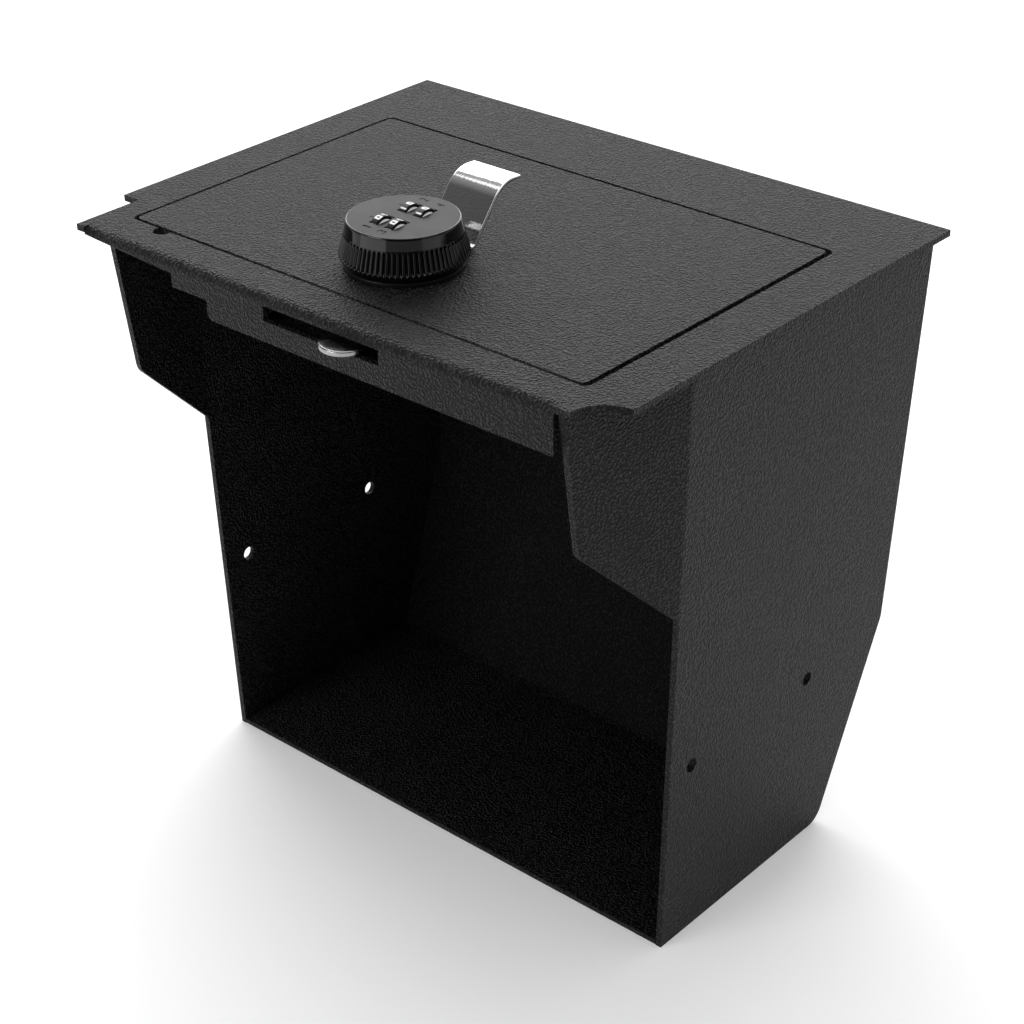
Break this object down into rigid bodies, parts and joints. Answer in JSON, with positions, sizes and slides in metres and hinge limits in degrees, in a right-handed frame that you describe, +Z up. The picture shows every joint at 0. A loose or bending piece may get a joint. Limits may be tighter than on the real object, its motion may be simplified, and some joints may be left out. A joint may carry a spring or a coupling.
{
  "type": "console security box",
  "caption": "Drop-in steel security box for a vehicle console, open at the front, with a flush hinged lid, a combination knob lock with a turning cam, and a pull tab.",
  "frame": {"origin": "centre of the bounding box's footprint, on the base's underside", "axes": "+Z up, +X to the right along the long side, -Y towards the open front and the lock's side of the lid"},
  "size_m": [0.3, 0.2368, 0.3075],
  "materials": {
    "powder_coat": "black wrinkle powder coat",
    "knob_black": "polished black",
    "dial_black": "satin black with white numbers",
    "tab_chrome": "polished",
    "zinc_plate": "bright zinc plate",
    "dark_steel": "blackened"
  },
  "bodies": {
    "body": {"top_plate": "powder_coat", "left_wall": "powder_coat", "right_wall": "powder_coat", "back_floor_panel": "powder_coat", "strike_angle": "powder_coat", "lid_rest_left": "powder_coat", "lid_rest_right": "powder_coat", "hinge_ear_left": "powder_coat", "hinge_ear_right": "powder_coat", "hinge_rod": "zinc_plate"},
    "lid": {"lid_panel": "powder_coat", "lid_ear_left": "powder_coat", "lid_ear_right": "powder_coat", "pull_tab": "tab_chrome", "lock_housing": "knob_black", "lock_nut": "zinc_plate"},
    "knob": {"knob_shell": "knob_black", "dial_carrier": "dial_black", "dial_axle_front": "dark_steel", "dial_axle_back": "dark_steel", "lock_spindle": "zinc_plate", "lock_cam": "zinc_plate", "cam_screw": "zinc_plate"},
    "dial_1": {"dial_wheel_1": "dial_black"},
    "dial_2": {"dial_wheel_2": "dial_black"},
    "dial_3": {"dial_wheel_3": "dial_black"},
    "dial_4": {"dial_wheel_4": "dial_black"}
  },
  "joints": [
    {"name": "lid_hinge", "type": "hinge", "parent": "body", "child": "lid", "pos_m": [0, 0.04551, 0.2765], "axis": [-1, 0, 0], "range_deg": [0, 100]},
    {"name": "knob_turn", "type": "hinge", "parent": "lid", "child": "knob", "pos_m": [-0.0033, -0.05239, 0.283], "axis": [0, 0, 1], "range_deg": [0, 90]},
    {"name": "dial_1_turn", "type": "hinge", "parent": "knob", "child": "dial_1", "pos_m": [-0.00755, -0.06064, 0.2987], "axis": [1, 0, 0], "continuous": true},
    {"name": "dial_2_turn", "type": "hinge", "parent": "knob", "child": "dial_2", "pos_m": [-0.00755, -0.04414, 0.2987], "axis": [1, 0, 0], "continuous": true},
    {"name": "dial_3_turn", "type": "hinge", "parent": "knob", "child": "dial_3", "pos_m": [0.00095, -0.06064, 0.2987], "axis": [1, 0, 0], "continuous": true},
    {"name": "dial_4_turn", "type": "hinge", "parent": "knob", "child": "dial_4", "pos_m": [0.00095, -0.04414, 0.2987], "axis": [1, 0, 0], "continuous": true}
  ]
}
